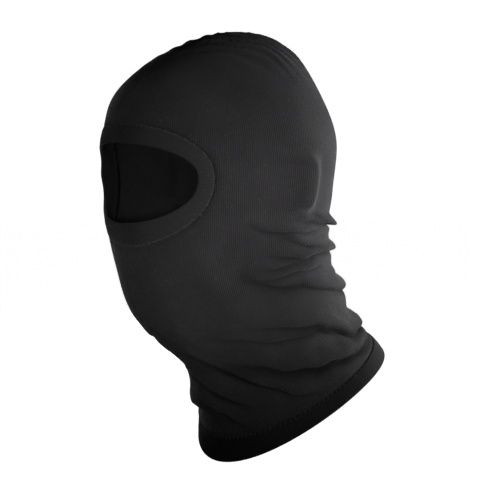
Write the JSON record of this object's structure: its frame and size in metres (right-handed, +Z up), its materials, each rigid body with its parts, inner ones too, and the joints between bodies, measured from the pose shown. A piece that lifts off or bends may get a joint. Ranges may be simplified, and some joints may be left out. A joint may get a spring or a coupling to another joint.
{
  "type": "balaclava",
  "caption": "Black knitted balaclava with a single wide face opening, doubled rib bands at the opening and neck, and a crown seam, shaped as worn.",
  "frame": {"origin": "middle of the wearer's head, midway between the ears, where the head holds the balaclava", "axes": "+Z up, from the neck to the crown; the face opening faces -Y; +X is the wearer's left"},
  "size_m": [0.156, 0.2335, 0.3107],
  "materials": {
    "rib_knit": "fine 1x1 rib knit, matte with a soft sheen",
    "band_knit": "doubled fine rib knit, matte",
    "sewing_thread": "spun polyester thread, slight sheen",
    "label_tape": "plain woven satin tape with nothing printed on it"
  },
  "bodies": {
    "root": {"hood_shell": "rib_knit", "face_band": "band_knit", "neck_band": "band_knit", "crown_needle_thread": "sewing_thread", "crown_looper_thread": "sewing_thread", "face_needle_thread": "sewing_thread", "face_looper_thread": "sewing_thread", "hem_needle_thread": "sewing_thread", "hem_looper_thread": "sewing_thread", "face_band_join_thread": "sewing_thread", "neck_band_join_thread": "sewing_thread", "care_label": "label_tape", "label_thread": "sewing_thread"}
  },
  "joints": []
}
